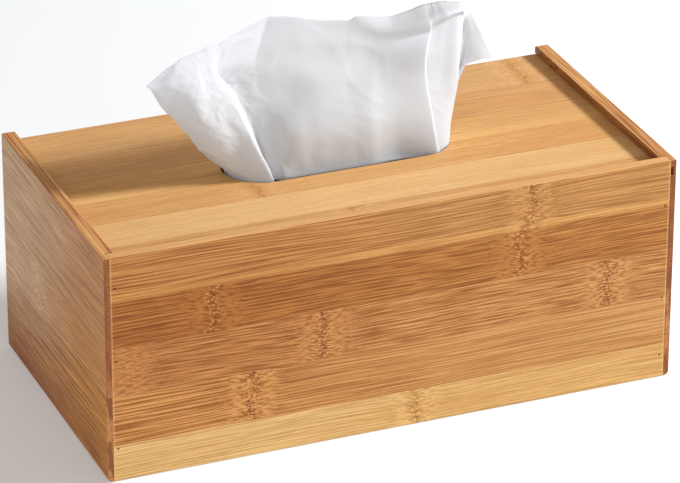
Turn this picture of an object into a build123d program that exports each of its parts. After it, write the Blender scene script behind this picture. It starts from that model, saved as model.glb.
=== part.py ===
from build123d import *
import os

# A bamboo tissue holder: a box of five boards, a lid that slides out to the back in grooves
# of the end boards, and the tissues that it holds. Millimetres. X runs along the box, +Y to
# the back and +Z up, and the origin is the middle of the underside.

# The box over its boards
box_length = 250.0
box_depth = 128.0
box_height = 100.0

# Board thicknesses
end_thickness = 6.0
front_thickness = 5.0
back_thickness = 5.0
base_thickness = 4.0
lid_thickness = 3.0

# Corner joints: the end boards are rebated and keep this tongue outside the long boards
end_tongue = 2.5
# The base sits in a rebate of this width around the foot of the walls
base_lap = 2.5

# The lid lies below the rim, and its edges run in grooves
lid_drop = 3.6
end_groove_depth = 4.8
front_groove_depth = 2.0
lid_side_clearance = 0.6
lid_bottom_clearance = 0.2
lid_top_clearance = 0.5
lid_front_clearance = 0.3
# The left groove is stopped this far behind the front face, and the right one runs out
left_groove_stop = 2.5

# The slot that the tissue comes out of, a stadium in the middle of the lid
slot_length = 100.0
slot_width = 33.0

# Eased edges
foot_round = 2.0
rim_round = 0.5
arris_round = 0.35
slot_round = 0.5

# Headless pins through the long boards into the end boards
pin_diameter = 0.8
pin_length = 18.0
pin_inset = 4.6
pin_sink = 0.3
pin_hole_clearance = 0.02
left_pin_low = 14.5
left_pin_middle = 54.0
left_pin_top_drop = 13.5
right_pin_low = 10.3
right_pin_middle = 37.3
right_pin_top_drop = 20.3

# The pack of folded tissues
stack_length = 210.0
stack_depth = 105.0
stack_height = 58.0
stack_round = 3.0
stack_clearance = 0.3

# The sheet that is drawn up through the slot, as a folded band of this thickness
sheet_thickness = 1.2
# Its lower edge stays this far above the underside of the lid, and its folds this far
# from the slot's edge
sheet_foot_clearance = 0.4
sheet_seat_clearance = 0.3
# Radii of its creases and of its soft folds, at the middle of the band
crease = 0.8
soft = 3.0
# Heights over the lid's top where the folds are set out
waist_height = 15.6
breast_height = 34.6
brim_height = 51.6
sheet_top_height = 72.0
# The folds from left to right: radius, foot as shares of the room in the slot's half length
# and half width, then the places at the waist, breast and brim, from the slot's middle
folds = (
    (0, (-0.92, 0.24), (-61, -8), (-74, -17), (-90, -23)),
    (soft, (-0.85, -0.44), (-57, -17), (-68, -23), (-74, -25)),
    (crease, (-0.67, -1.02), (-41, -16.5), (-50, -17), (-58, -16)),
    (crease, (-0.70, 0.0), (-44, -4), (-50, -6), (-55, -12)),
    (soft, (-0.54, -0.20), (-30, -1), (-33, 0), (-33.5, 0)),
    (soft, (-0.42, -0.84), (-24, -8), (-24, -1), (-21, 0)),
    (soft, (-0.22, -0.36), (-10, -2.5), (-10, 0), (-8, 1)),
    (soft, (0.12, -0.18), (6, -1), (6, 0), (6, 1)),
    (soft, (0.50, -0.33), (23, -4), (22, -2), (22, 0)),
    (crease, (0.84, -0.84), (37, -12), (35.5, -11), (37, -11)),
    (crease, (0.89, -0.32), (49.5, -5), (54, -4), (55, -2)),
    (crease, (0.66, 0.14), (40, 4), (47, 6), (52.5, 6)),
    (0, (0.90, 0.38), (54, 11), (70, 14), (75, 14)),
)
# The free edge as it is seen from the front: distance along X from the slot's middle, and
# height over the lid's top, with its corners rounded
edge_round = 2.0
free_edge = (
    (-97, 50),
    (-91, 56.5),
    (-78, 64),
    (-54, 65.5),
    (-30, 66.5),
    (-20, 65.5),
    (-7, 60.5),
    (6, 59),
    (22, 58.5),
    (33, 61.5),
    (46, 62.5),
    (57, 61),
    (67, 46),
    (78, 24.5),
    (64, 24),
    (56, 10),
)

# What follows from the sizes
inner_half_length = box_length / 2 - end_thickness
front_face = -box_depth / 2
back_face = box_depth / 2
inner_front = front_face + front_thickness
inner_back = back_face - back_thickness
long_board_length = box_length - 2 * end_tongue
lid_top = box_height - lid_drop
lid_bottom = lid_top - lid_thickness
groove_bottom = lid_bottom - lid_bottom_clearance
groove_top = lid_top + lid_top_clearance
lid_front = inner_front - front_groove_depth + lid_front_clearance
lid_half_width = inner_half_length + end_groove_depth - lid_side_clearance
slot_middle = (lid_front + back_face) / 2
pin_radius = pin_diameter / 2


def block(x, y, z):
    """A box between two limits along each axis."""
    middle = Pos((x[0] + x[1]) / 2, (y[0] + y[1]) / 2, (z[0] + z[1]) / 2)
    return middle * Box(x[1] - x[0], y[1] - y[0], z[1] - z[0])


def edges_along(solid, axis, **limits):
    """The straight edges parallel to an axis whose middle lies within the given limits."""
    found = solid.edges().filter_by(axis)
    for name, (low, high) in limits.items():
        found = [edge for edge in found if low <= getattr(edge.center(), name) <= high]
    return found


def base_panel():
    """The base, with its edges in the rebate around the foot of the walls."""
    half_length = inner_half_length + base_lap
    return block(
        (-half_length, half_length),
        (inner_front - base_lap, inner_back + base_lap),
        (0, base_thickness),
    )


def back_blank():
    """The back board, which ends under the lid so that the lid can pass over it."""
    half = long_board_length / 2
    return block((-half, half), (inner_back, back_face), (0, groove_bottom))


def front_blank():
    """The front board, whose rim stands as high as the end boards."""
    half = long_board_length / 2
    blank = block((-half, half), (front_face, inner_front), (0, box_height))
    rims = edges_along(blank, Axis.X, Z=(box_height - 1, box_height + 1))
    blank = fillet(rims, rim_round)
    arrises = edges_along(blank, Axis.Z, Y=(front_face - 1, front_face + 1))
    arrises += edges_along(blank, Axis.X, Y=(front_face - 1, front_face + 1), Z=(-1, 1))
    return fillet(arrises, arris_round)


def end_blank(side):
    """An end board before its joints are cut, side is -1 for the left and 1 for the right."""
    outer = side * box_length / 2
    inner = side * inner_half_length
    blank = block((min(outer, inner), max(outer, inner)), (front_face, back_face), (0, box_height))
    foot = edges_along(blank, Axis.Y, X=(outer - 1, outer + 1), Z=(-1, 1))
    blank = fillet(foot, foot_round)
    rims = edges_along(blank, Axis.Y, Z=(box_height - 1, box_height + 1))
    rims += edges_along(blank, Axis.X, Z=(box_height - 1, box_height + 1))
    blank = fillet(rims, rim_round)
    arrises = edges_along(blank, Axis.Z, X=(outer - 1, outer + 1))
    return fillet(arrises, arris_round)


def end_panel(side, pins):
    """An end board with its lid groove, and rebates for the long boards and the base."""
    inner = side * inner_half_length
    groove_end = inner + side * end_groove_depth
    groove_start = front_face + left_groove_stop if side < 0 else front_face - 1
    groove = block(
        (min(inner - side, groove_end), max(inner - side, groove_end)),
        (groove_start, back_face + 1),
        (groove_bottom, groove_top),
    )
    lap = side * long_board_length / 2
    front_rebate = block(
        (min(inner - side, lap), max(inner - side, lap)),
        (front_face - 1, inner_front),
        (-1, box_height + 1),
    )
    panel = end_blank(side) - groove - front_rebate - back_blank() - base_panel()
    return panel - pin_holes(pins)


def front_panel(pins):
    """The front board with the groove that keeps the lid's front edge down."""
    half = long_board_length / 2
    groove = block(
        (-half - 1, half + 1),
        (inner_front - front_groove_depth, inner_front + 1),
        (groove_bottom, groove_top),
    )
    return front_blank() - groove - base_panel() - pin_holes(pins)


def back_panel(pins):
    """The low back board."""
    return back_blank() - base_panel() - pin_holes(pins)


def slot_cut():
    """The stadium through the lid."""
    outline = Pos(0, slot_middle) * SlotOverall(slot_length, slot_width)
    return Pos(0, 0, lid_bottom - 1) * extrude(outline, lid_thickness + 2)


def sliding_lid():
    """The lid board with its slot, held by its two ends and its front edge."""
    board = block((-lid_half_width, lid_half_width), (lid_front, back_face), (lid_bottom, lid_top))
    board = fillet(edges_along(board, Axis.X, Y=(back_face - 1, back_face + 1)), arris_round)
    board -= slot_cut()
    top_face = board.faces().sort_by(Axis.Z)[-1]
    slot_rim = top_face.inner_wires()[0].edges()
    return fillet(slot_rim, slot_round)


def pin(x, y, z, direction):
    """One headless pin driven from the face at y, sunk a little below it."""
    start = y + direction * pin_sink
    turned = Rotation(-90 * direction, 0, 0)
    body = Cylinder(pin_radius, pin_length, align=(Align.CENTER, Align.CENTER, Align.MIN))
    return Pos(x, start, z) * turned * body


def corner_pins(side, face, heights):
    """The pins of one corner, driven through a long board into an end board."""
    direction = 1 if face < 0 else -1
    x = side * (box_length / 2 - pin_inset)
    return [pin(x, face, z, direction) for z in heights]


def pin_holes(pins):
    """The holes of these pins, with the sunk end of each hole left open."""
    holes = []
    for one in pins:
        middle = one.center()
        reach = pin_length / 2 + pin_sink
        hole = Cylinder(pin_radius + pin_hole_clearance, 2 * reach)
        lean = Rotation(90, 0, 0)
        shift = -pin_sink if middle.Y < 0 else pin_sink
        holes.append(Pos(middle.X, middle.Y + shift, middle.Z) * lean * hole)
    return holes


def tissue_stack():
    """The pack of folded tissues on the base."""
    bottom = base_thickness + stack_clearance
    pack = block(
        (-stack_length / 2, stack_length / 2),
        (-stack_depth / 2, stack_depth / 2),
        (bottom, bottom + stack_height),
    )
    return fillet(pack.edges().filter_by(Axis.Z), stack_round)


def band_section(level, height):
    """The folded band at one height: its folds set out as a line, with both faces beside it."""
    line = [Vector(*fold[level]) for fold in folds]
    if level == 1:
        room = (slot_length / 2 - sheet_seat_clearance, slot_width / 2 - sheet_seat_clearance)
        line = [Vector(share.X * room[0], share.Y * room[1]) for share in line]
    steps = [(b - a).normalized() for a, b in zip(line, line[1:])]
    steps = [steps[0]] + steps + [steps[-1]]
    half = sheet_thickness / 2
    near = []
    far = []
    near_radii = []
    far_radii = []
    for fold, point, before, after in zip(folds, line, steps, steps[1:]):
        mean = (before + after).normalized()
        across = Vector(-mean.Y, mean.X)
        reach = half / across.dot(Vector(-before.Y, before.X))
        near.append(point - across * reach)
        far.append(point + across * reach)
        bulge = half if before.X * after.Y > before.Y * after.X else -half
        near_radii.append(fold[0] + bulge if fold[0] else 0)
        far_radii.append(fold[0] - bulge if fold[0] else 0)
    radii = near_radii + far_radii[::-1]
    outline = FilletPolyline(*near, *reversed(far), radius=radii, close=True)
    return Pos(0, slot_middle, lid_top + height) * make_face(outline)


def tissue_sheet():
    """The drawn tissue: a band in its folds, widening upwards, cut to the free edge."""
    foot_height = sheet_foot_clearance - lid_thickness
    sections = [
        band_section(1, foot_height),
        band_section(1, 0),
        band_section(2, waist_height),
        band_section(3, breast_height),
        band_section(4, brim_height),
        band_section(4, sheet_top_height),
    ]
    band = loft(sections, ruled=True)
    floor = foot_height - 1
    outline = ((0, floor), (free_edge[0][0], floor), *free_edge, (free_edge[-1][0], floor))
    radii = [0, 0] + [edge_round] * len(free_edge) + [0]
    front = Plane(origin=(0, 0, lid_top), x_dir=(1, 0, 0), z_dir=(0, -1, 0))
    face = front * make_face(FilletPolyline(*outline, radius=radii, close=True))
    return band & extrude(face, box_depth, both=True)


left_heights = (left_pin_low, left_pin_middle, box_height - left_pin_top_drop)
right_heights = (right_pin_low, right_pin_middle, box_height - right_pin_top_drop)
front_left = corner_pins(-1, front_face, left_heights)
front_right = corner_pins(1, front_face, right_heights)
back_left = corner_pins(-1, back_face, left_heights)
back_right = corner_pins(1, back_face, right_heights)

nodes = {
    "left_end_panel": end_panel(-1, front_left + back_left),
    "right_end_panel": end_panel(1, front_right + back_right),
    "front_panel": front_panel(front_left + front_right),
    "back_panel": back_panel(back_left + back_right),
    "base_panel": base_panel(),
    "sliding_lid": sliding_lid(),
    "front_left_pins": Compound(children=front_left),
    "front_right_pins": Compound(children=front_right),
    "back_left_pins": Compound(children=back_left),
    "back_right_pins": Compound(children=back_right),
    "tissue_stack": tissue_stack(),
    "tissue_sheet": tissue_sheet(),
}

os.makedirs("parts", exist_ok=True)
for name, shape in nodes.items():
    export_step(shape, "parts/" + name + ".step")
    print(name, len(shape.solids()), "solids", round(shape.volume, 1), "mm3")
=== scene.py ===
import math
import random
from collections import namedtuple
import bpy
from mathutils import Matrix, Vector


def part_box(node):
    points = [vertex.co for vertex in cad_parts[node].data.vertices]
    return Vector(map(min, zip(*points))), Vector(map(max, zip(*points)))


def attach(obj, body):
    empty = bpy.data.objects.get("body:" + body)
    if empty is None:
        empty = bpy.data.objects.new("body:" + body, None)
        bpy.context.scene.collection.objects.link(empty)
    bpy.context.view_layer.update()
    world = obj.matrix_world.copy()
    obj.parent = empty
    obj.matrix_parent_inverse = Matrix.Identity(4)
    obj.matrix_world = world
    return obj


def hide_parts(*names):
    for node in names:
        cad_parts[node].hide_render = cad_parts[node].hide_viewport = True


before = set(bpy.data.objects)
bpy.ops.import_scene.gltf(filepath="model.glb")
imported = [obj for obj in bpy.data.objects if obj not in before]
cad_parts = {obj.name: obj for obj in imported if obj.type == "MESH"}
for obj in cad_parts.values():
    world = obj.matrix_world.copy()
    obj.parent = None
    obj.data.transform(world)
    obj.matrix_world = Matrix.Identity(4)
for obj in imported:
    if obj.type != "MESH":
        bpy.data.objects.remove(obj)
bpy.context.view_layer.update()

from types import SimpleNamespace

import bmesh
import bpy
from mathutils import Matrix, Vector, noise

# A bamboo tissue box with a sliding lid, in metres in the part's own frame. Patterns are set
# out in millimetres, because the boards' strips and knuckles are told in them.
MM = 0.001
PER_METRE = 1000.0

# The box over its boards
BOX_LENGTH = 250 * MM
BOX_DEPTH = 128 * MM


class Finish:
    """A material's nodes, made and linked one line at a time."""

    def __init__(self, name):
        self.material = bpy.data.materials.new(name)
        self.material.use_nodes = True
        self.tree = self.material.node_tree
        self.tree.nodes.clear()
        self.output = self.tree.nodes.new("ShaderNodeOutputMaterial")
        self.shader = self.tree.nodes.new("ShaderNodeBsdfPrincipled")
        self.tree.links.new(self.shader.outputs[0], self.output.inputs["Surface"])
        self.place = self.tree.nodes.new("ShaderNodeTexCoord")

    def give(self, socket, value):
        """Links a value to a socket, or writes a number or a colour in it."""
        if isinstance(value, bpy.types.NodeSocket):
            self.tree.links.new(value, socket)
        elif socket.type == "RGBA":
            socket.default_value = (*value, 1)
        else:
            socket.default_value = value

    def set(self, **values):
        for name, value in values.items():
            self.give(self.shader.inputs[name.replace("_", " ")], value)

    def math(self, operation, *values):
        node = self.tree.nodes.new("ShaderNodeMath")
        node.operation = operation
        for socket, value in zip(node.inputs, values):
            self.give(socket, value)
        return node.outputs[0]

    def about(self, value, width):
        """Turns a value from 0 to 1 into a place on both sides of 0, over the whole width."""
        return self.math("MULTIPLY_ADD", value, width, -width / 2)

    def add(self, *values):
        total = values[0]
        for value in values[1:]:
            total = self.math("ADD", total, value)
        return total

    def times(self, *values):
        product = values[0]
        for value in values[1:]:
            product = self.math("MULTIPLY", product, value)
        return product

    def span(self, value, low, high, start=0.0, end=1.0, smooth=True):
        """Carries a value from one span to another, and holds it at the ends."""
        node = self.tree.nodes.new("ShaderNodeMapRange")
        node.interpolation_type = "SMOOTHSTEP" if smooth else "LINEAR"
        for socket, number in zip(node.inputs, (value, low, high, start, end)):
            self.give(socket, number)
        return node.outputs[0]

    def vector(self, x, y, z):
        node = self.tree.nodes.new("ShaderNodeCombineXYZ")
        for socket, value in zip(node.inputs, (x, y, z)):
            self.give(socket, value)
        return node.outputs[0]

    def parts(self, vector):
        node = self.tree.nodes.new("ShaderNodeSeparateXYZ")
        self.give(node.inputs[0], vector)
        return list(node.outputs)

    def noise(self, vector, detail=2.0, roughness=0.5, scale=1.0):
        node = self.tree.nodes.new("ShaderNodeTexNoise")
        self.give(node.inputs["Vector"], vector)
        node.inputs["Scale"].default_value = scale
        node.inputs["Detail"].default_value = detail
        node.inputs["Roughness"].default_value = roughness
        return node.outputs[0]

    def cells(self, vector):
        node = self.tree.nodes.new("ShaderNodeTexVoronoi")
        self.give(node.inputs["Vector"], vector)
        node.inputs["Scale"].default_value = 1.0
        return node.outputs[0]

    def steps(self, factor, stops, interpolation="CONSTANT"):
        """A colour ramp through (position, colour) stops."""
        node = self.tree.nodes.new("ShaderNodeValToRGB")
        ramp = node.color_ramp
        ramp.interpolation = interpolation
        while len(ramp.elements) < len(stops):
            ramp.elements.new(0.5)
        for element, (position, colour) in zip(ramp.elements, stops):
            element.position = position
            element.color = (*colour, 1)
        self.give(node.inputs[0], factor)
        return node.outputs[0]

    def mix(self, factor, first, second, blend="MIX"):
        node = self.tree.nodes.new("ShaderNodeMix")
        node.data_type = "RGBA"
        node.blend_type = blend
        self.give(node.inputs["Factor"], factor)
        self.give(node.inputs[6], first)
        self.give(node.inputs[7], second)
        return node.outputs[2]

    def bump(self, height, strength, distance):
        node = self.tree.nodes.new("ShaderNodeBump")
        self.give(node.inputs["Height"], height)
        node.inputs["Strength"].default_value = strength
        node.inputs["Distance"].default_value = distance
        self.tree.links.new(node.outputs[0], self.shader.inputs["Normal"])


def tone(red, green, blue):
    """A colour as it is seen on a screen, 0 to 255, as the amount of light."""
    shares = [value / 255 for value in (red, green, blue)]
    return tuple(s / 12.92 if s < 0.04045 else ((s + 0.055) / 1.055) ** 2.4 for s in shares)


# A strip of a board: where it ends across the board in millimetres, its tone, how strongly its
# fibres show, how soon they end (1 is soonest), where its knuckles are along the board, two at
# most, and where flecks show without one. The places are kept in a colour ramp as shares of
# this reach on both sides of the middle, and what a strip lacks lies at its end, off the board.
REACH = 200.0
Strip = namedtuple("Strip", "end tone strength pace knuckles flecks", defaults=(REACH,))

# How a board's strips change between two places along it: the tone and the strength of each by
# the last place, and whether those tones run into each other across the board
Change = namedtuple("Change", "first last strips blend")

# Half of the front board's length, in millimetres
FRONT_HALF = 122.5

# The light and the dark plies on a board's long edges, and lighter ones on the front board
RIMS = (tone(224, 172, 116), tone(158, 100, 56))
FRONT_RIMS = (tone(227, 181, 124), tone(208, 158, 102))

# What a strip's tone is multiplied by in these
BROAD_BANDS = (0.83, 0.68, 0.50)
LIGHT_FIBRES = (1.16, 1.24, 1.36)
DARK_FIBRES = (0.48, 0.35, 0.22)
DUST = (0.78, 0.64, 0.48)
SEAMS = (0.55, 0.38, 0.24)
SMUDGES = (0.82, 0.64, 0.46)

# The specks of a knuckle
PALE_SPECKS = tone(230, 172, 106)
DARK_SPECKS = tone(112, 58, 24)

# The painted highlight on the corners at the front board's ends, from and to this far from them in
# millimetres
END_HIGHLIGHT = tone(226, 180, 128)
END_HIGHLIGHT_FROM = 1.1
END_HIGHLIGHT_TO = 0.5

# A board's ends: the cut fibres low down and high up, between which heights they change in
# millimetres, the pits between the fibres, and the clouds
ENDS_CHANGE = (30.0, 52.0)
LOW_ENDS = tone(174, 120, 76)
HIGH_ENDS = tone(142, 86, 50)
END_PITS = tone(96, 50, 28)
END_CLOUDS = tone(124, 72, 42)

# How squarely a face looks along an axis where it begins to be a board's end or long edge, and
# where it is one altogether
SQUARE = (0.6, 0.95)

# How far round a knuckle these reach, in square millimetres: the rippled fibres with flecks,
# the flecks where there is no knuckle, the knuckle's specks, and its thin line
FLARE_REACH = 130.0
FLECKS_REACH = 180.0
ZONE_REACH = 10.0
CORE_REACH = 0.9

# How strong flecks are where there is no knuckle
FLECKS_ALONE = 0.7

# How far these wander from side to side, in millimetres: the line that a knuckle follows, the
# fibres over a long way, the fibres round a knuckle, and the fibre bundles
LINE_WANDER = 7.0
SWAY = 7.0
RIPPLE = 3.2
DRIFT = 2.8

# The number of fibre bundles to a millimetre, and half of a seam's width in millimetres
BUNDLE_PITCH = 0.66
HALF_SEAM = 0.15

# Each strip takes its fibres from another place of the noise
STRIP_STEP = 0.37
SEED_STEP = 0.61
LOT_SPREAD = 137.0


def lay_out(finish, grain, across, low, strips, seed, change):
    """The directions of a board, and what its strips say at each place of it."""
    board = SimpleNamespace()
    axes = dict(zip("XYZ", finish.parts(finish.place.outputs["Object"])))
    normals = dict(zip("XYZ", finish.parts(finish.place.outputs["Normal"])))
    through = ({"X", "Y", "Z"} - {grain, across}).pop()
    board.along = finish.times(axes[grain], PER_METRE)
    board.side = finish.times(axes[across], PER_METRE)
    board.third = finish.times(axes[through], PER_METRE)
    board.end_face = finish.span(finish.math("ABSOLUTE", normals[grain]), *SQUARE)
    board.edge_face = finish.span(finish.math("ABSOLUTE", normals[across]), *SQUARE)

    high = strips[-1].end
    width = high - low
    share = finish.span(board.side, low, high, smooth=False)
    starts = [(edge - low) / width for edge in (low, *[strip.end for strip in strips[:-1]])]

    def over_strips(values, blend="CONSTANT"):
        return finish.steps(share, list(zip(starts, values)), blend)

    def places(strip):
        spots = [*strip.knuckles, REACH, REACH][:2] + [strip.flecks]
        return [(spot + REACH) / (2 * REACH) for spot in spots]

    lots = [
        (strip.strength, (i * STRIP_STEP + seed * SEED_STEP) % 1, strip.pace)
        for i, strip in enumerate(strips)
    ]
    board.tones = over_strips([strip.tone for strip in strips])
    kinds = over_strips(lots)
    if change:
        changed = finish.span(board.along, change.first, change.last)
        far_tones = over_strips([colour for colour, _ in change.strips], change.blend)
        far_kinds = over_strips(
            [(strength, *lot[1:]) for (_, strength), lot in zip(change.strips, lots)]
        )
        board.tones = finish.mix(changed, board.tones, far_tones)
        kinds = finish.mix(changed, kinds, far_kinds)
    board.strength, lot, board.pace = finish.parts(kinds)
    board.spots = finish.parts(over_strips([places(strip) for strip in strips]))
    board.shift = finish.times(lot, LOT_SPREAD)
    board.depth = finish.add(board.third, board.shift)

    stops = [(0, (0, 0, 0))]
    for start in starts[1:]:
        stops.append((start - HALF_SEAM / width, (1, 1, 1)))
        stops.append((start + HALF_SEAM / width, (0, 0, 0)))
    board.seams = finish.steps(share, stops)
    return board


def find_knuckles(finish, board):
    """How close each place is to a knuckle: in its flare, in its zone and in its core."""
    # The line that a knuckle follows across its strip wanders a little
    place = finish.vector(board.shift, finish.times(board.side, 0.16), 0.0)
    wander = finish.noise(place, detail=3.0)
    line = finish.add(board.along, finish.about(wander, LINE_WANDER))

    def distance(spot):
        where = finish.about(spot, 2 * REACH)
        return finish.math("ABSOLUTE", finish.math("SUBTRACT", line, where))

    def fading(squared, reach):
        return finish.math("EXPONENT", finish.times(squared, -1 / reach))

    away = finish.math("MINIMUM", distance(board.spots[0]), distance(board.spots[1]))
    squared = finish.times(away, away)
    from_flecks = distance(board.spots[2])
    flecks = fading(finish.times(from_flecks, from_flecks), FLECKS_REACH)
    board.flare = finish.math(
        "MAXIMUM", fading(squared, FLARE_REACH), finish.times(flecks, FLECKS_ALONE)
    )
    board.zone = fading(squared, ZONE_REACH)
    board.core = fading(squared, CORE_REACH)


def face_noise(finish, board, stretch, pitch, detail):
    """Noise on a board's face, by how fast it changes along the board and across it."""
    where = finish.vector(
        finish.times(board.along, stretch), finish.times(board.side, pitch), board.shift
    )
    return finish.noise(where, detail)


def run_fibres(finish, board):
    """How dark and how light the fibres are at each place, and the dust between them."""
    # Fibres run nearly straight, sway over a long way, and ripple round a knuckle
    sway = face_noise(finish, board, stretch=0.008, pitch=0.035, detail=1.0)
    ripple = face_noise(finish, board, stretch=0.16, pitch=0.05, detail=1.0)
    course = finish.add(
        board.side,
        board.shift,
        finish.about(sway, SWAY),
        finish.times(board.flare, finish.about(ripple, RIPPLE)),
    )

    def fibres(stretch, pitch, detail, roughness=0.5):
        where = finish.vector(
            finish.times(board.along, stretch),
            finish.times(course, pitch),
            finish.times(board.depth, pitch),
        )
        return finish.noise(where, detail, roughness)

    # The fibre bundles lie about 1.5 mm apart, drift to and fro, and fade in and out
    drift = fibres(stretch=0.012, pitch=0.28, detail=1.0)
    bundled = finish.add(course, finish.about(drift, DRIFT))
    wave = finish.math("SINE", finish.times(bundled, 2 * math.pi * BUNDLE_PITCH))
    ends = finish.math("MULTIPLY_ADD", board.pace, 0.06, 0.012)
    fade = finish.span(fibres(stretch=ends, pitch=1.0, detail=1.0), 0.38, 0.60, 0.15, 1.0)
    stripes = fibres(stretch=0.012, pitch=0.6, detail=1.0, roughness=0.6)
    hair_ends = finish.math("MULTIPLY_ADD", board.pace, 0.045, 0.02)
    hairs = fibres(stretch=hair_ends, pitch=2.3, detail=0.0)
    scales = fibres(stretch=0.30, pitch=1.5, detail=1.0)
    patches = face_noise(finish, board, stretch=0.022, pitch=0.16, detail=2.0)

    # Round a knuckle, flecks take the place of long fibres
    calm = finish.span(board.flare, 0.75, 0.15)
    gate = finish.span(patches, 0.38, 0.60, 0.35, 1.0)
    streaks = finish.times(finish.span(stripes, 0.47, 0.36), calm, gate, 0.15)
    threads = finish.times(
        finish.add(
            finish.times(finish.span(wave, 0.1, 1.0), fade, 0.85),
            finish.times(finish.span(hairs, 0.52, 0.40), 0.75),
        ),
        calm,
    )
    dark_flecks = finish.times(finish.span(scales, 0.52, 0.40), board.flare)
    pale_flecks = finish.times(finish.span(scales, 0.55, 0.65), board.flare, 0.55)
    pale_threads = finish.times(finish.span(wave, -0.2, -0.95), fade, calm, 0.8)
    board.dark = finish.math("MINIMUM", 1.0, finish.add(streaks, threads, dark_flecks))
    board.light = finish.math("MAXIMUM", pale_threads, pale_flecks)
    board.dust = fibres(stretch=0.22, pitch=3.6, detail=1.0)


def face_colour(finish, board):
    """The colour of a board's face: its strips with their fibres, seams and knuckles."""
    strength = board.strength
    broad = face_noise(finish, board, stretch=0.008, pitch=0.10, detail=2.0)
    bands = finish.span(broad, 0.35, 0.65, 0.0, 0.3)
    dust = finish.span(board.dust, 0.52, 0.38, 0.0, 0.35)

    # A knuckle: a thin broken line with dark and light specks on both sides of it
    place = finish.vector(
        finish.times(board.along, 0.85), finish.times(board.side, 1.3), board.depth
    )
    specks = finish.noise(place, detail=1.0, roughness=0.6)
    board.broken = finish.math(
        "MAXIMUM",
        finish.times(board.core, finish.span(specks, 0.62, 0.46), 0.9),
        finish.times(board.zone, finish.span(specks, 0.47, 0.39)),
    )
    pale = finish.times(board.zone, finish.span(specks, 0.56, 0.66))
    smudge = finish.times(board.zone, finish.math("MULTIPLY_ADD", strength, -0.3, 0.5))
    boldness = finish.math("MULTIPLY_ADD", strength, 0.55, 0.2)

    colour = finish.mix(bands, board.tones, BROAD_BANDS, "MULTIPLY")
    colour = finish.mix(finish.times(board.light, strength), colour, LIGHT_FIBRES, "MULTIPLY")
    colour = finish.mix(finish.times(board.dark, strength), colour, DARK_FIBRES, "MULTIPLY")
    colour = finish.mix(dust, colour, DUST, "MULTIPLY")
    colour = finish.mix(finish.times(board.seams, 0.35), colour, SEAMS, "MULTIPLY")
    colour = finish.mix(smudge, colour, SMUDGES, "MULTIPLY")
    colour = finish.mix(finish.times(pale, 0.5), colour, PALE_SPECKS)
    return finish.mix(finish.times(board.broken, boldness), colour, DARK_SPECKS)


def end_colour(finish, board):
    """The colour of a board's ends, where the fibres are cut across."""
    bundles = finish.cells(finish.vector(
        finish.times(board.side, 1.4), finish.times(board.third, 1.4), board.shift
    ))
    place = finish.vector(
        finish.times(board.side, 0.09), finish.times(board.third, 0.4), board.shift
    )
    clouds = finish.noise(place, detail=2.0)
    fibres = finish.mix(finish.span(board.side, *ENDS_CHANGE), LOW_ENDS, HIGH_ENDS)
    cut = finish.mix(finish.span(bundles, 0.1, 0.5), END_PITS, fibres)
    return finish.mix(finish.span(clouds, 0.42, 0.6), cut, END_CLOUDS)


def bamboo(name, grain, across, low, strips, seed, rims=RIMS, half=REACH, change=None):
    """Laminated bamboo: strips with fine fibres that break up into flecks round their knuckles.

    The grain runs along one axis, and the strips follow each other across it from the low edge.
    """
    finish = Finish(name)
    board = lay_out(finish, grain, across, low, strips, seed, change)
    find_knuckles(finish, board)
    run_fibres(finish, board)
    colour = face_colour(finish, board)

    # The corners at a front board's ends are painted light, as a painted highlight on their
    # arrises
    from_middle = finish.math("ABSOLUTE", board.along)
    end_highlight = finish.span(from_middle, half - END_HIGHLIGHT_FROM, half - END_HIGHLIGHT_TO, 0.0, 0.3)
    colour = finish.mix(end_highlight, colour, END_HIGHLIGHT)

    # A board's long edges show its plies, and its ends show the fibres cut across
    place = finish.vector(
        finish.times(board.along, 0.018), finish.times(board.third, 2.2), board.shift
    )
    plies = finish.noise(place, detail=2.0, roughness=0.6)
    rim = finish.mix(finish.span(plies, 0.45, 0.56), *rims)
    colour = finish.mix(finish.times(board.edge_face, 0.85), colour, rim)
    colour = finish.mix(board.end_face, colour, end_colour(finish, board))

    # Thin satin varnish over fibres that can just be felt
    finish.set(Base_Color=colour, Roughness=0.5)
    finish.set(Coat_Weight=0.15, Coat_Roughness=0.2, Coat_IOR=1.5, Specular_IOR_Level=0.1)
    height = finish.add(
        finish.times(board.dark, -0.4),
        finish.times(board.dust, 0.3),
        finish.times(board.broken, -0.7),
    )
    finish.bump(height, strength=0.25, distance=0.15 * MM)
    return finish.material


def dress(node, material):
    """Gives a solid of the part its look."""
    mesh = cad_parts[node].data
    mesh.materials.clear()
    mesh.materials.append(material)


# The seen boards follow the photograph, and the others are like them
dress("front_panel", bamboo("front_bamboo", "X", "Z", 0.0, (
    Strip(16.0, tone(211, 173, 114), 0.55, 0.2, (9.0,)),
    Strip(38.0, tone(194, 138, 80), 1.0, 0.25, (-63.0,)),
    Strip(59.5, tone(184, 126, 73), 0.95, 0.8, (-32.0, 95.0), -116.0),
    Strip(80.0, tone(165, 105, 51), 0.9, 0.8, (-79.0, 55.0)),
    Strip(83.0, tone(190, 135, 76), 0.5, 0.2, (58.0,)),
    Strip(100.0, tone(182, 127, 72), 0.9, 0.2, (60.0,)),
), seed=1, rims=FRONT_RIMS, half=FRONT_HALF, change=Change(-100.0, 80.0, (
    (tone(204, 162, 101), 0.5),
    (tone(193, 144, 88), 0.6),
    (tone(191, 138, 83), 0.95),
    (tone(178, 121, 64), 0.85),
    (tone(200, 152, 90), 0.5),
    (tone(187, 138, 82), 0.75),
), "CONSTANT")))
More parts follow.
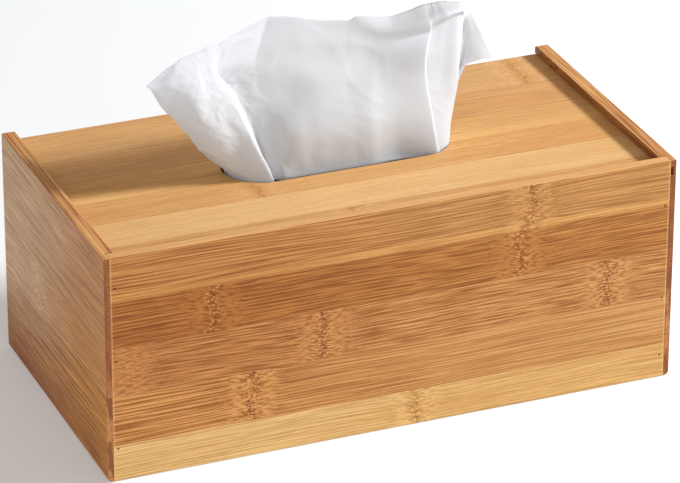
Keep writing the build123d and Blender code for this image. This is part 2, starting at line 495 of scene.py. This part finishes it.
# The lid's tones are partly its own pale colour and partly painted light: they are lifted paler to
# stand in for light falling on the top.
dress("sliding_lid", bamboo("lid_bamboo", "X", "Y", -64.0, (
    Strip(-49.0, tone(219, 171, 113), 0.50, 0.2, (-13.0,)),
    Strip(-27.0, tone(227, 186, 130), 0.24, 0.4, ()),
    Strip(-7.0, tone(219, 171, 112), 0.32, 0.3, (-43.0,)),
    Strip(0.0, tone(229, 185, 124), 0.24, 0.3, ()),
    Strip(14.0, tone(221, 175, 118), 0.32, 0.3, ()),
    Strip(36.0, tone(219, 172, 119), 0.38, 0.5, ()),
    Strip(64.0, tone(221, 177, 124), 0.34, 0.3, (104.0,)),
), seed=2))
# The left board is painted paler than the others, as painted light on the side away from the lamp,
# and its tones hold a painted reflection: greyer towards the top and the back, where the lit floor
# is mirrored, and darker along the bottom towards the back, as painted shade where the box's
# shadow on the floor is mirrored.
dress("left_end_panel", bamboo("left_bamboo", "Y", "Z", 0.0, (
    Strip(18.0, tone(200, 135, 54), 1.0, 0.3, ()),
    Strip(38.0, tone(216, 151, 68), 1.0, 0.3, ()),
    Strip(59.0, tone(216, 156, 88), 0.72, 0.5, (), 19.0),
    Strip(80.0, tone(216, 160, 106), 0.75, 0.3, ()),
    Strip(100.0, tone(214, 158, 104), 0.85, 0.3, ()),
), seed=3, change=Change(-46.0, 44.0, (
    (tone(167, 94, 34), 1.0),
    (tone(203, 150, 98), 1.0),
    (tone(234, 196, 162), 0.72),
    (tone(226, 189, 150), 0.75),
    (tone(222, 184, 144), 0.85),
), "LINEAR")))
dress("right_end_panel", bamboo("right_bamboo", "Y", "Z", 0.0, (
    Strip(20.0, tone(184, 131, 74), 0.8, 0.2, (12.0,)),
    Strip(41.0, tone(190, 140, 82), 0.8, 0.4, (-34.0,)),
    Strip(62.0, tone(180, 126, 70), 0.9, 0.6, (38.0,)),
    Strip(82.0, tone(188, 137, 80), 0.8, 0.3, (-8.0,)),
    Strip(100.0, tone(176, 122, 70), 0.9, 0.2, (45.0,)),
), seed=4))
dress("back_panel", bamboo("back_bamboo", "X", "Z", 0.0, (
    Strip(21.0, tone(198, 144, 78), 0.7, 0.2, (40.0,)),
    Strip(42.0, tone(208, 162, 92), 0.6, 0.5, (-70.0, 88.0)),
    Strip(63.0, tone(190, 132, 69), 0.8, 0.8, (-15.0,)),
    Strip(84.0, tone(202, 150, 83), 0.7, 0.3, (64.0, -104.0)),
    Strip(100.0, tone(196, 142, 78), 0.7, 0.2, (-40.0,)),
), seed=5))
dress("base_panel", bamboo("base_bamboo", "X", "Y", -64.0, (
    Strip(-40.0, tone(198, 144, 78), 0.7, 0.2, (-50.0,)),
    Strip(-16.0, tone(206, 158, 90), 0.6, 0.5, (66.0,)),
    Strip(8.0, tone(194, 138, 74), 0.8, 0.8, (-90.0, 20.0)),
    Strip(34.0, tone(204, 151, 86), 0.6, 0.3, (100.0,)),
    Strip(64.0, tone(196, 142, 78), 0.7, 0.2, (-20.0,)),
), seed=6))

steel = Finish("dark_pin_steel")
steel.set(Metallic=0.9, Roughness=0.55, Base_Color=tone(58, 40, 30))
for node in ("front_left_pins", "front_right_pins", "back_left_pins", "back_right_pins"):
    dress(node, steel.material)

# Tissue paper lets a share of the light through
THROUGH_SHARE = 0.53
THROUGH_TINT = (0.88, 0.91, 0.95, 1)
paper = Finish("white_tissue")
paper.set(Base_Color=(0.755, 0.78, 0.815), Roughness=0.85, Specular_IOR_Level=0.15)
through_light = paper.tree.nodes.new("ShaderNodeBsdfTranslucent")
through_light.inputs["Color"].default_value = THROUGH_TINT
both = paper.tree.nodes.new("ShaderNodeMixShader")
both.inputs[0].default_value = THROUGH_SHARE
paper.tree.links.new(paper.shader.outputs[0], both.inputs[1])
paper.tree.links.new(through_light.outputs[0], both.inputs[2])
paper.tree.links.new(both.outputs[0], paper.output.inputs["Surface"])
paper_place = [paper.times(axis, PER_METRE) for axis in paper.parts(paper.place.outputs["Object"])]
paper_grain = paper.noise(paper.vector(*paper_place), detail=2.0, roughness=0.6, scale=0.9)
paper.bump(paper_grain, strength=0.28, distance=0.3 * MM)
PAPER_THICKNESS = 0.2 * MM


def put(name, made, material):
    """Makes an object of a finished mesh, and puts it in the scene."""
    mesh = bpy.data.meshes.new(name)
    made.to_mesh(mesh)
    made.free()
    mesh.materials.append(material)
    thing = bpy.data.objects.new(name, mesh)
    bpy.context.scene.collection.objects.link(thing)
    return thing


def rough(x, y, lot):
    """Smooth noise on both sides of 0 at a place, another one for each lot."""
    return noise.noise(Vector((x, y, lot)))


def grid_sheet(name, columns, rows, place, stand_off):
    """A sheet of paper whose points go from (0..1, 0..1) to their places and stand off them."""
    made = bmesh.new()
    bmesh.ops.create_grid(made, x_segments=columns, y_segments=rows, size=1.0)
    flat = {}
    for vertex in made.verts:
        flat[vertex] = ((vertex.co.x + 1) / 2, (vertex.co.y + 1) / 2)
        vertex.co = place(*flat[vertex])
    made.normal_update()
    normals = {vertex: vertex.normal.copy() for vertex in made.verts}
    for vertex in made.verts:
        vertex.co += normals[vertex] * stand_off(*flat[vertex])
    for face in made.faces:
        face.smooth = True
    sheet = put(name, made, paper.material)
    thick = sheet.modifiers.new("thickness", "SOLIDIFY")
    thick.thickness = PAPER_THICKNESS
    thick.offset = 0.0
    return sheet


# The drawn tissue's wrinkles are told over its width and height in centimetres. It is crushed
# most in the flap at its left, as far as this share of the width, and in the second fold.
SPREAD_WIDTH = 19.0
SPREAD_HEIGHT = 6.5
FLAP_SHARE = 0.28
SECOND_FOLD = 0.26
SECOND_FOLD_WIDTH = 0.045


def wrinkle(across, up):
    """How far a drawn tissue's point stands off its smooth form."""
    x = across * SPREAD_WIDTH
    z = up * SPREAD_HEIGHT
    second_fold = up * math.exp(-(((across - SECOND_FOLD) / SECOND_FOLD_WIDTH) ** 2))
    left = math.exp(-((across / FLAP_SHARE) ** 2)) + second_fold
    calm = 0.35 + 0.75 * left

    # Each kind by how often it comes in a centimetre, and how high it stands in millimetres
    pleats = rough(x * 1.1, z * 0.14, 3.0) * (0.6 - 0.4 * up)
    soft = rough(x * 0.45, z * 0.5, 11.0) * 0.8
    creased = rough(x * 0.5 + z * 0.35, z * 0.6 - x * 0.2, 20.0)
    crease = max(0.0, 1 - abs(creased) * 3.5) * 0.32
    small = rough(x * 1.9, z * 1.6, 31.0) * 0.24
    crumple = rough(x * 4.4, z * 3.9, 37.0) * 0.13 * left
    crushed = max(0.0, 1 - abs(rough(x * 1.3, z * 1.5, 43.0)) * 5) * 0.22 * left
    settled = min(1.0, up * 8)
    return (pleats + soft + crease + small + crumple + crushed) * calm * settled * MM


def slopes(points, knots, softness):
    """The directions in which a curve comes to each point and leaves it."""
    steps = [
        (after - before) / (knots[i + 1] - knots[i])
        for i, (before, after) in enumerate(zip(points, points[1:]))
    ]
    pairs = [(steps[0], steps[0])]
    for i in range(1, len(points) - 1):
        middle = (points[i + 1] - points[i - 1]) / (knots[i + 1] - knots[i - 1])
        pairs.append((steps[i - 1].lerp(middle, softness[i]), steps[i].lerp(middle, softness[i])))
    pairs.append((steps[-1], steps[-1]))
    return pairs


def curve(points, knots, softness, places):
    """Points on a smooth curve through the given ones, sharp where the softness is 0."""
    pairs = slopes(points, knots, softness)
    result = []
    i = 0
    for place in places:
        while i < len(knots) - 2 and place > knots[i + 1]:
            i += 1
        length = knots[i + 1] - knots[i]
        t = (place - knots[i]) / length
        result.append(
            points[i] * (2 * t**3 - 3 * t**2 + 1)
            + pairs[i][1] * (t**3 - 2 * t**2 + t) * length
            + points[i + 1] * (3 * t**2 - 2 * t**3)
            + pairs[i + 1][0] * (t**3 - t**2) * length
        )
    return result


# The drawn tissue's folds from its left edge to its right one: how soft each is low down and
# near the free edge (0 is a sharp crease), and its points from inside the slot up to the free
# edge, in millimetres from the box's front left bottom corner. The levels are how far up the
# sheet these points lie.
LEVELS = (0, 2.5, 18, 37, 48, 55, 60, 65)
FOLDS = (
    (1.0, 1.0, (
        (77, 68.5, 94), (76.5, 69, 96.5), (65, 62.5, 108.5), (52, 55, 126.5),
        (43.5, 51, 137.5), (38.5, 48, 146), (37, 47.5, 148), (36, 47, 149.5),
    )),
    (1.0, 1.0, (
        (78, 59.5, 94), (77.5, 59.5, 96.5), (70, 55, 109), (59, 49, 129),
        (55, 47.5, 141), (52, 47, 148), (50, 47.5, 154), (49, 48, 157),
    )),
    (1.0, 1.0, (
        (85.5, 52.5, 94), (85, 52.5, 96.5), (78.5, 53.5, 109.5), (68.3, 51, 129.3),
        (63.7, 50.2, 140.4), (61.1, 50.5, 147.5), (60.5, 51.3, 154.6), (61, 51.8, 159),
    )),
    (0.1, 1.0, (
        (92, 51, 94), (91.5, 51, 96.5), (84.7, 51.8, 110.9), (76.4, 53, 130.3),
        (71.1, 53.3, 140.2), (67.9, 53.9, 147.4), (68.8, 55.2, 154), (69.9, 55.4, 158.9),
    )),
    (0.6, 1.0, (
        (91, 55.5, 94), (91, 56, 96.5), (87.5, 59.5, 112.5), (80, 64.5, 131.5),
        (75, 64.5, 138), (71, 59.5, 144.5), (71.7, 57, 153.4), (73.7, 57, 159.4),
    )),
    (0.15, 0.1, (
        (97.5, 53.5, 94), (97.5, 53.5, 96.5), (95, 57, 113.5), (90, 64, 132),
        (89.5, 65, 141), (90.5, 65.5, 147), (92.5, 66, 153.5), (95.5, 66, 162.5),
    )),
    (1.0, 1.0, (
        (103, 53.5, 94), (103, 53.5, 96.5), (101.5, 53, 113.5), (102.5, 62, 131),
        (103, 65, 142), (104, 66, 150), (105, 66.5, 155.5), (106, 66.5, 160.5),
    )),
    (1.0, 1.0, (
        (112.5, 53.5, 94), (112.5, 53.5, 96.5), (112, 52, 113.5), (114, 59.5, 131),
        (116, 64.5, 140), (117, 65.5, 147), (117.5, 66.5, 152), (118, 67, 157),
    )),
    (1.0, 1.0, (
        (127, 53.5, 94), (127, 53.5, 96.5), (125.5, 52, 113.5), (127.5, 59, 130),
        (129, 64, 139), (129.5, 65.5, 146), (130, 66.5, 150.5), (130, 67, 155),
    )),
    (0.8, 1.0, (
        (137, 53.5, 94), (137, 53.5, 96.5), (135.5, 52, 113.5), (136.5, 58.5, 129),
        (139, 63.5, 138), (140, 65, 145), (138, 65.5, 151), (136.5, 66.5, 156),
    )),
    (1.0, 1.0, (
        (149, 54, 94), (149, 54.5, 96.5), (146.5, 54, 113), (145.5, 58.5, 128),
        (147, 61.5, 137), (148, 64, 144), (149, 63.5, 149), (150, 67, 153.5),
    )),
    (0.6, 1.0, (
        (165, 51, 94), (164.5, 51, 96.5), (163, 54.5, 112.5), (161.5, 57.5, 128.5),
        (162, 58, 138.5), (165.5, 63.5, 145), (163, 60.5, 151), (164.5, 67, 156.5),
    )),
    (0.1, 1.0, (
        (166, 53, 94), (166, 53.5, 96.5), (164, 58, 111.5), (162.5, 61.5, 127),
        (163.5, 62, 137), (167, 65, 145.5), (166.5, 60.5, 152), (167.5, 67, 156.5),
    )),
    (1.0, 1.0, (
        (171, 55.5, 94), (171.5, 56, 96.5), (171, 59.5, 109.5), (171, 62.5, 124),
        (172, 63.5, 137), (174, 65.5, 148), (173, 60, 153.5), (172.5, 67, 156.5),
    )),
    (0.5, 1.0, (
        (174, 61, 94), (174.5, 61.5, 96.5), (176.5, 63, 107.5), (179, 64, 121),
        (179.5, 64.5, 136), (181, 66.5, 149.5), (180, 62, 153.5), (178, 68, 155),
    )),
    (0.5, 1.0, (
        (170, 67, 94), (171.5, 67, 96.5), (177, 70.5, 104.5), (183, 75, 115.5),
        (185.5, 75, 130.5), (184.5, 71.5, 142), (184.5, 69.5, 149), (185, 71, 152),
    )),
    (0.8, 1.0, (
        (168, 70, 94), (170, 70, 96.5), (177, 71, 104), (181.5, 71.5, 117),
        (184.5, 71, 125), (186.5, 70.5, 132.5), (188, 70.5, 138.5), (190, 70.5, 143),
    )),
    (1.0, 1.0, (
        (166, 73, 94), (168, 73, 96.5), (176, 70.5, 103.5), (182.5, 71.5, 117),
        (185.5, 70, 124.5), (188, 69.5, 125.5), (192.5, 69, 126.5), (197.5, 70, 126),
    )),
)

# These lines roll over at the top, and a crease as sharp as this runs under the roll, at the
# level given
ROLLED = (11, 12, 13, 14)
ROLL_FOOT = 55
ROLL_SOFTNESS = 0.15

# From this level and over this height, a fold's softness changes from its low one to its high one
SOFTENING_STARTS = 47
SOFTENING_HEIGHT = 8

# The mesh's columns crowd together at the folds, which keeps these crisp, and its free edge is
# uneven from this share of the height up, more so at the left
COLUMNS_PER_FOLD = 17
CROWDING = 0.7
TISSUE_ROWS = 96
UNEVEN_FROM = 0.9

# The middle of the box's underside, from its front left bottom corner
MIDDLE = Vector((BOX_LENGTH / 2, BOX_DEPTH / 2, 0))

heights = [LEVELS[-1] * row / TISSUE_ROWS for row in range(TISSUE_ROWS + 1)]
line_softness = [
    [ROLL_SOFTNESS if i in ROLLED and level == ROLL_FOOT else 1.0 for level in LEVELS]
    for i in range(len(FOLDS))
]
lines = [
    curve([Vector(point) for point in points], LEVELS, softness, heights)
    for (_, _, points), softness in zip(FOLDS, line_softness)
]
fold_knots = list(range(len(FOLDS)))
evenly = [i / COLUMNS_PER_FOLD for i in range((len(FOLDS) - 1) * COLUMNS_PER_FOLD + 1)]
stations = [max(0.0, s - CROWDING * math.sin(math.tau * s) / math.tau) for s in evenly]


def fold_softness(height):
    """How soft each fold is at a level of the sheet."""
    free = min(1.0, max(0.0, (height - SOFTENING_STARTS) / SOFTENING_HEIGHT))
    return [low + (top - low) * free for low, top, _ in FOLDS]


tissue_rows = [
    curve([line[row] for line in lines], fold_knots, fold_softness(heights[row]), stations)
    for row in range(TISSUE_ROWS + 1)
]


def column_at(across):
    """The number of the mesh's column at a share of the even width."""
    return round(across * (len(stations) - 1))


def tissue_place(across, up):
    """Where a point of the drawn tissue is, on the smooth form with its uneven free edge."""
    column = column_at(across)
    point = tissue_rows[round(up * TISSUE_ROWS)][column].copy()
    uneven = rough(stations[column] * 1.9, 5.0, 61.0) - 0.35
    near_edge = max(0.0, (up - UNEVEN_FROM) / (1 - UNEVEN_FROM))
    point.z += uneven * near_edge * (1 - 0.7 * across)
    return point * MM - MIDDLE


def tissue_wrinkle(across, up):
    """The wrinkles at a point of the drawn tissue, by its true share of the width."""
    return wrinkle(stations[column_at(across)] / (len(FOLDS) - 1), up)


drawn = grid_sheet(
    "drawn_tissue", len(stations) - 1, TISSUE_ROWS, tissue_place, tissue_wrinkle
)
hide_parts("tissue_sheet")
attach(drawn, "tissue")

# The pack in the box: folded tissues, one on the other, none quite in line, with rounded folds
# on their long sides. There is a margin round them and room for the top sheet over them.
STACK_LAYERS = 44
STACK_MARGIN = 1.0 * MM
STACK_SEED = 12
SHIFT_ALONG = 0.4
SHIFT_ACROSS = 0.5
LAYER_SHARE = 0.97
FOLD_SHARE = 0.45
TOP_SHEET_ROOM = 0.9 * MM
TOP_SHEET_GAP = 0.3 * MM
stack_low, stack_high = (Vector(corner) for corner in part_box("tissue_stack"))
stack_size = stack_high - stack_low
layer_pitch = (stack_size.z - TOP_SHEET_ROOM) / STACK_LAYERS
spread = Vector((
    stack_size.x - 2 * STACK_MARGIN,
    stack_size.y - 2 * STACK_MARGIN,
    layer_pitch * LAYER_SHARE,
))
shuffle = random.Random(STACK_SEED)
made = bmesh.new()
for layer in range(STACK_LAYERS):
    slab = bmesh.ops.create_cube(made, size=1.0)["verts"]
    middle = (stack_low + stack_high) / 2
    middle.x += shuffle.uniform(-SHIFT_ALONG, SHIFT_ALONG) * MM
    middle.y += shuffle.uniform(-SHIFT_ACROSS, SHIFT_ACROSS) * MM
    middle.z = stack_low.z + (layer + 0.5) * layer_pitch
    for vertex in slab:
        vertex.co = Vector(a * b for a, b in zip(vertex.co, spread)) + middle
    folds = {
        edge
        for vertex in slab
        for edge in vertex.link_edges
        if abs(edge.verts[0].co.x - edge.verts[1].co.x) > spread.x / 2
    }
    bmesh.ops.bevel(
        made, geom=list(folds), offset=layer_pitch * FOLD_SHARE, segments=3, profile=0.5,
        affect="EDGES", material=-1,
    )
pack = put("tissue_pack", made, paper.material)
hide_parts("tissue_stack")
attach(pack, "case")


def top_sheet_place(across, up):
    """Where a point of the top tissue is when it lies flat on the pack."""
    return Vector((
        stack_low.x + stack_size.x * across,
        stack_low.y + stack_size.y * up,
        stack_high.z - TOP_SHEET_ROOM + TOP_SHEET_GAP,
    ))


def ripple(across, up):
    """The top tissue lies in low waves, its folded half ends at the middle, and its edges lift."""
    waves = rough(across * 4.0, up * 2.2, 41.0) * 1.1
    fine = rough(across * 14.0, up * 8.0, 47.0) * 0.25
    bend = 0.03 * rough(across * 3.0, 5.0, 53.0)
    leaf = 0.9 if up < 0.5 + bend else 0.0
    edge = max(0.0, abs(up - 0.5) * 2 - 0.85) * 2.0
    return max(0.0, 0.5 + waves + fine + leaf + edge) * MM


top_sheet = grid_sheet("top_tissue", 120, 60, top_sheet_place, ripple)
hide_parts("tissue_stack")
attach(top_sheet, "case")

# A pale floor that glows a little, as the photograph's ground is white, just under the box
FLOOR_REACH = 3.0
FLOOR_GAP = 0.3 * MM
floor_finish = Finish("pale_floor")
floor_finish.set(Base_Color=(0.74, 0.80, 0.87), Roughness=0.9)
floor_finish.set(Emission_Color=(1.0, 1.0, 1.0), Emission_Strength=0.18)
made = bmesh.new()
bmesh.ops.create_grid(made, x_segments=1, y_segments=1, size=FLOOR_REACH)
floor = put("floor", made, floor_finish.material)
floor.location.z = -FLOOR_GAP

# A bright light from the right, a cooler fill from the front left, and warm light all round
world = bpy.data.worlds.new("studio")
bpy.context.scene.world = world
world.use_nodes = True
sky = world.node_tree.nodes["Background"].inputs
sky["Color"].default_value = (1, 0.84, 0.68, 1)
sky["Strength"].default_value = 0.40


def soft_light(name, place, target, size, power, colour):
    """A round light that looks at its target."""
    lamp = bpy.data.lights.new(name, "AREA")
    lamp.color = colour
    lamp.shape = "DISK"
    lamp.size = size
    lamp.energy = power
    lit = bpy.data.objects.new(name, lamp)
    lit.location = place
    lit.rotation_euler = (Vector(target) - Vector(place)).to_track_quat("-Z", "Y").to_euler()
    bpy.context.scene.collection.objects.link(lit)


soft_light(
    "right_light", (1.667, -0.445, 0.90), (0, 0, 0.10), size=0.32, power=58, colour=(1, 1, 1)
)
soft_light(
    "front_fill", (-0.75, -1.75, 0.47), (0, 0, 0.08), size=1.2, power=13.5, colour=(0.88, 0.96, 1)
)

# The camera, fitted to the corners of the box in the photograph
camera_data = bpy.data.cameras.new("camera")
camera_data.lens = 230.524
camera_data.sensor_width = 36.0
camera_data.sensor_fit = "HORIZONTAL"
camera = bpy.data.objects.new("camera", camera_data)
azimuth = math.radians(22.173)
elevation = math.radians(26.1408)
roll = math.radians(0.1526)
forward = Vector((
    math.sin(azimuth) * math.cos(elevation),
    math.cos(azimuth) * math.cos(elevation),
    -math.sin(elevation),
))
turn = forward.to_track_quat("-Z", "Y").to_matrix() @ Matrix.Rotation(roll, 3, "Z")
camera.rotation_euler = turn.to_euler()
camera.location = (-0.616062, -1.515198, 0.858832)
bpy.context.scene.collection.objects.link(camera)
bpy.context.scene.camera = camera
bpy.context.scene.view_settings.view_transform = "Standard"
